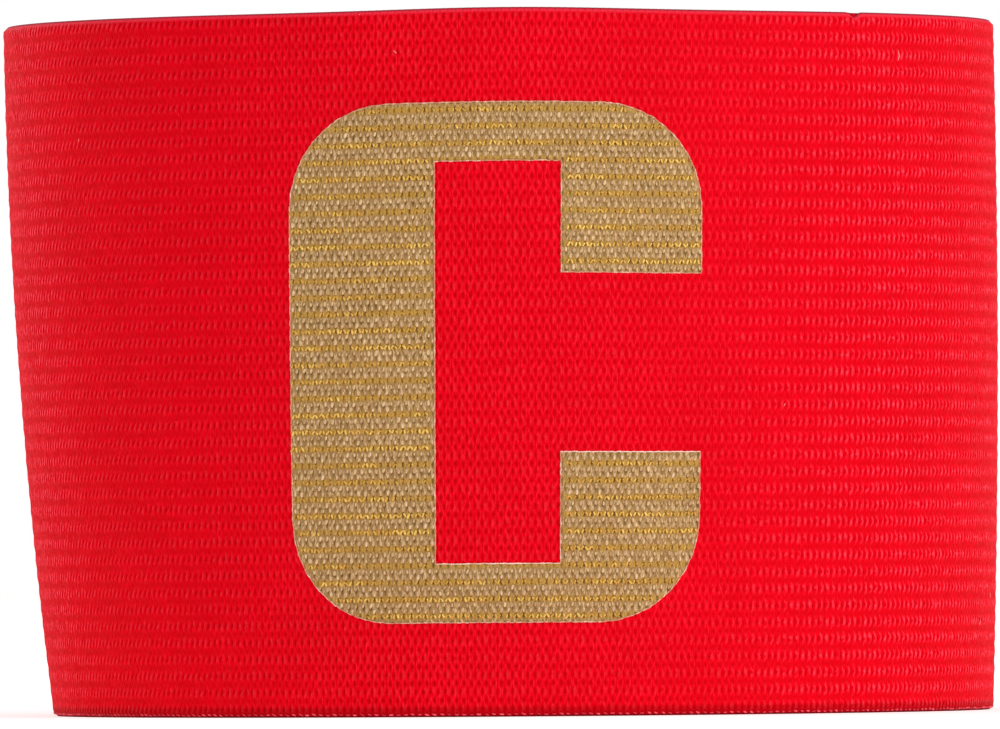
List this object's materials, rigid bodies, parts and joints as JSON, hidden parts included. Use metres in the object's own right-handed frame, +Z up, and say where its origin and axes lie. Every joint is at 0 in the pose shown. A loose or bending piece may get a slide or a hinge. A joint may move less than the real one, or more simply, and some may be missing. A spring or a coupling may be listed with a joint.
{
  "type": "captain armband",
  "caption": "Ribbed woven elastic armband sewn into a loop, standing as a slightly tapered tube, with a gold block letter C woven into its front; it slips over the upper arm.",
  "frame": {"origin": "on the ground, under the middle of the band's box, inside the tube", "axes": "+Z up along the tube, -Y towards the lettered front, +X to the right as the letter is read"},
  "size_m": [0.1076, 0.1064, 0.075],
  "materials": {
    "woven_elastic": "ribbed polyester elastic, low sheen",
    "gold_yarn": "beige polyester with metallic gold thread"
  },
  "bodies": {
    "root": {"elastic_band": "woven_elastic", "captain_letter": "gold_yarn"}
  },
  "joints": []
}
